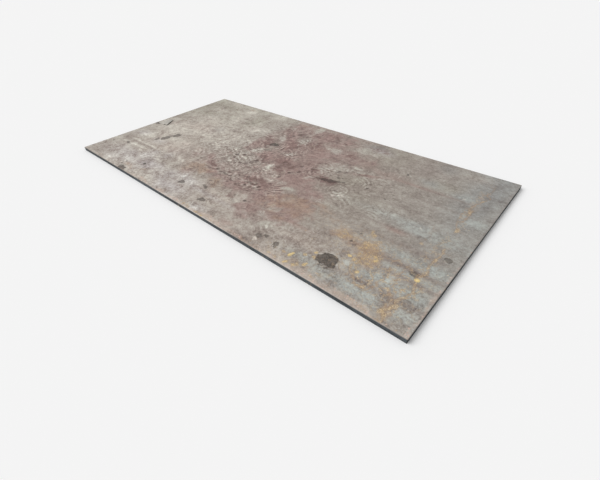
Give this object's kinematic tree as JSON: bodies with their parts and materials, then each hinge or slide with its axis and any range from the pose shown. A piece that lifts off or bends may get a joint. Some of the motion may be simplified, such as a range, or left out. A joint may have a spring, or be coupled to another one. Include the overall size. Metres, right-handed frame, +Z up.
{
  "type": "steel plate",
  "caption": "Flat rectangular hot-rolled steel plate, stock for cutting and welding, with torch-cut sides and a weathered, rust-flecked surface.",
  "frame": {"origin": "centre of the underside, on the floor", "axes": "+X along the length, +Y along the width, +Z up through the thickness"},
  "size_m": [3, 1.5, 0.028],
  "materials": {
    "mill_scale": "hot-rolled mill scale, weathered, with a bloom of rust"
  },
  "bodies": {
    "root": {"steel_plate": "mill_scale"}
  },
  "joints": []
}
